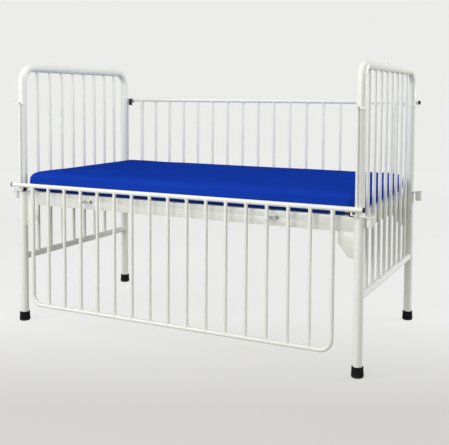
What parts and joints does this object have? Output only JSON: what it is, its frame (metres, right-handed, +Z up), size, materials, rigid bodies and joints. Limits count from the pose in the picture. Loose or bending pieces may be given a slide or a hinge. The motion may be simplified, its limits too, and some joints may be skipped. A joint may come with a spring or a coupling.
{
  "type": "pediatric hospital cot",
  "caption": "Child-size hospital cot with arched tube ends, barred guards that slide up and down on rods and latch, a steel deck, a vinyl mattress and rubber feet.",
  "frame": {"origin": "centre of the bed on the floor, midway between the four feet", "axes": "+X along the bed towards the right end, +Y towards the rear guard, +Z up"},
  "size_m": [1.4716, 0.7702, 1.0158],
  "materials": {
    "white_paint": "glossy baked powder paint",
    "blue_vinyl": "semi-gloss vinyl-coated cloth",
    "black_rubber": "matt moulded rubber",
    "black_plastic": "satin moulded nylon",
    "zinc_plate": "zinc-plated steel"
  },
  "bodies": {
    "frame": {"accessory_socket_front_left": "white_paint", "accessory_socket_front_right": "white_paint", "accessory_socket_rear_left": "white_paint", "accessory_socket_rear_right": "white_paint", "bed_deck": "white_paint", "deck_bearers": "white_paint", "foot_front_left": "black_rubber", "foot_front_right": "black_rubber", "foot_rear_left": "black_rubber", "foot_rear_right": "black_rubber", "front_gussets": "white_paint", "front_side_rail": "white_paint", "front_upper_brackets": "white_paint", "guide_ring_front_left": "white_paint", "guide_ring_front_right": "white_paint", "guide_ring_rear_left": "white_paint", "guide_ring_rear_right": "white_paint", "guide_rod_front_left": "white_paint", "guide_rod_front_right": "white_paint", "guide_rod_rear_left": "white_paint", "guide_rod_rear_right": "white_paint", "left_crossbar": "white_paint", "left_end_angle": "white_paint", "left_end_arch": "white_paint", "left_end_bars": "white_paint", "mattress": "blue_vinyl", "rear_gussets": "white_paint", "rear_side_rail": "white_paint", "rear_upper_brackets": "white_paint", "right_crossbar": "white_paint", "right_end_angle": "white_paint", "right_end_arch": "white_paint", "right_end_bars": "white_paint", "ring_bolts": "zinc_plate", "rod_nuts": "zinc_plate", "socket_plate_front_left": "white_paint", "socket_plate_front_right": "white_paint", "socket_plate_rear_left": "white_paint", "socket_plate_rear_right": "white_paint"},
    "front_guard": {"front_guard_bars": "white_paint", "front_guard_end_plugs": "black_plastic", "front_guard_frame": "white_paint", "front_guard_lugs": "white_paint", "front_guard_top_rail": "white_paint", "front_latch_housings": "black_plastic"},
    "rear_guard": {"rear_guard_bars": "white_paint", "rear_guard_end_plugs": "black_plastic", "rear_guard_frame": "white_paint", "rear_guard_lugs": "white_paint", "rear_guard_top_rail": "white_paint", "rear_latch_housings": "black_plastic"},
    "front_latch_left": {"front_latch_pin_left": "zinc_plate"},
    "front_latch_right": {"front_latch_pin_right": "zinc_plate"},
    "rear_latch_left": {"rear_latch_pin_left": "zinc_plate"},
    "rear_latch_right": {"rear_latch_pin_right": "zinc_plate"}
  },
  "joints": [
    {"name": "front_guard_lift", "type": "slide", "parent": "frame", "child": "front_guard", "axis": [0, 0, 1], "range_m": [0, 0.331]},
    {"name": "rear_guard_drop", "type": "slide", "parent": "frame", "child": "rear_guard", "axis": [0, 0, -1], "range_m": [0, 0.331]},
    {"name": "front_latch_left_retract", "type": "slide", "parent": "front_guard", "child": "front_latch_left", "axis": [1, 0, 0], "range_m": [0, 0.007], "stiffness_N_per_m": 600, "springref_m": -0.002},
    {"name": "front_latch_right_retract", "type": "slide", "parent": "front_guard", "child": "front_latch_right", "axis": [-1, 0, 0], "range_m": [0, 0.007], "stiffness_N_per_m": 600, "springref_m": -0.002},
    {"name": "rear_latch_left_retract", "type": "slide", "parent": "rear_guard", "child": "rear_latch_left", "axis": [1, 0, 0], "range_m": [0, 0.007], "stiffness_N_per_m": 600, "springref_m": -0.002},
    {"name": "rear_latch_right_retract", "type": "slide", "parent": "rear_guard", "child": "rear_latch_right", "axis": [-1, 0, 0], "range_m": [0, 0.007], "stiffness_N_per_m": 600, "springref_m": -0.002}
  ]
}
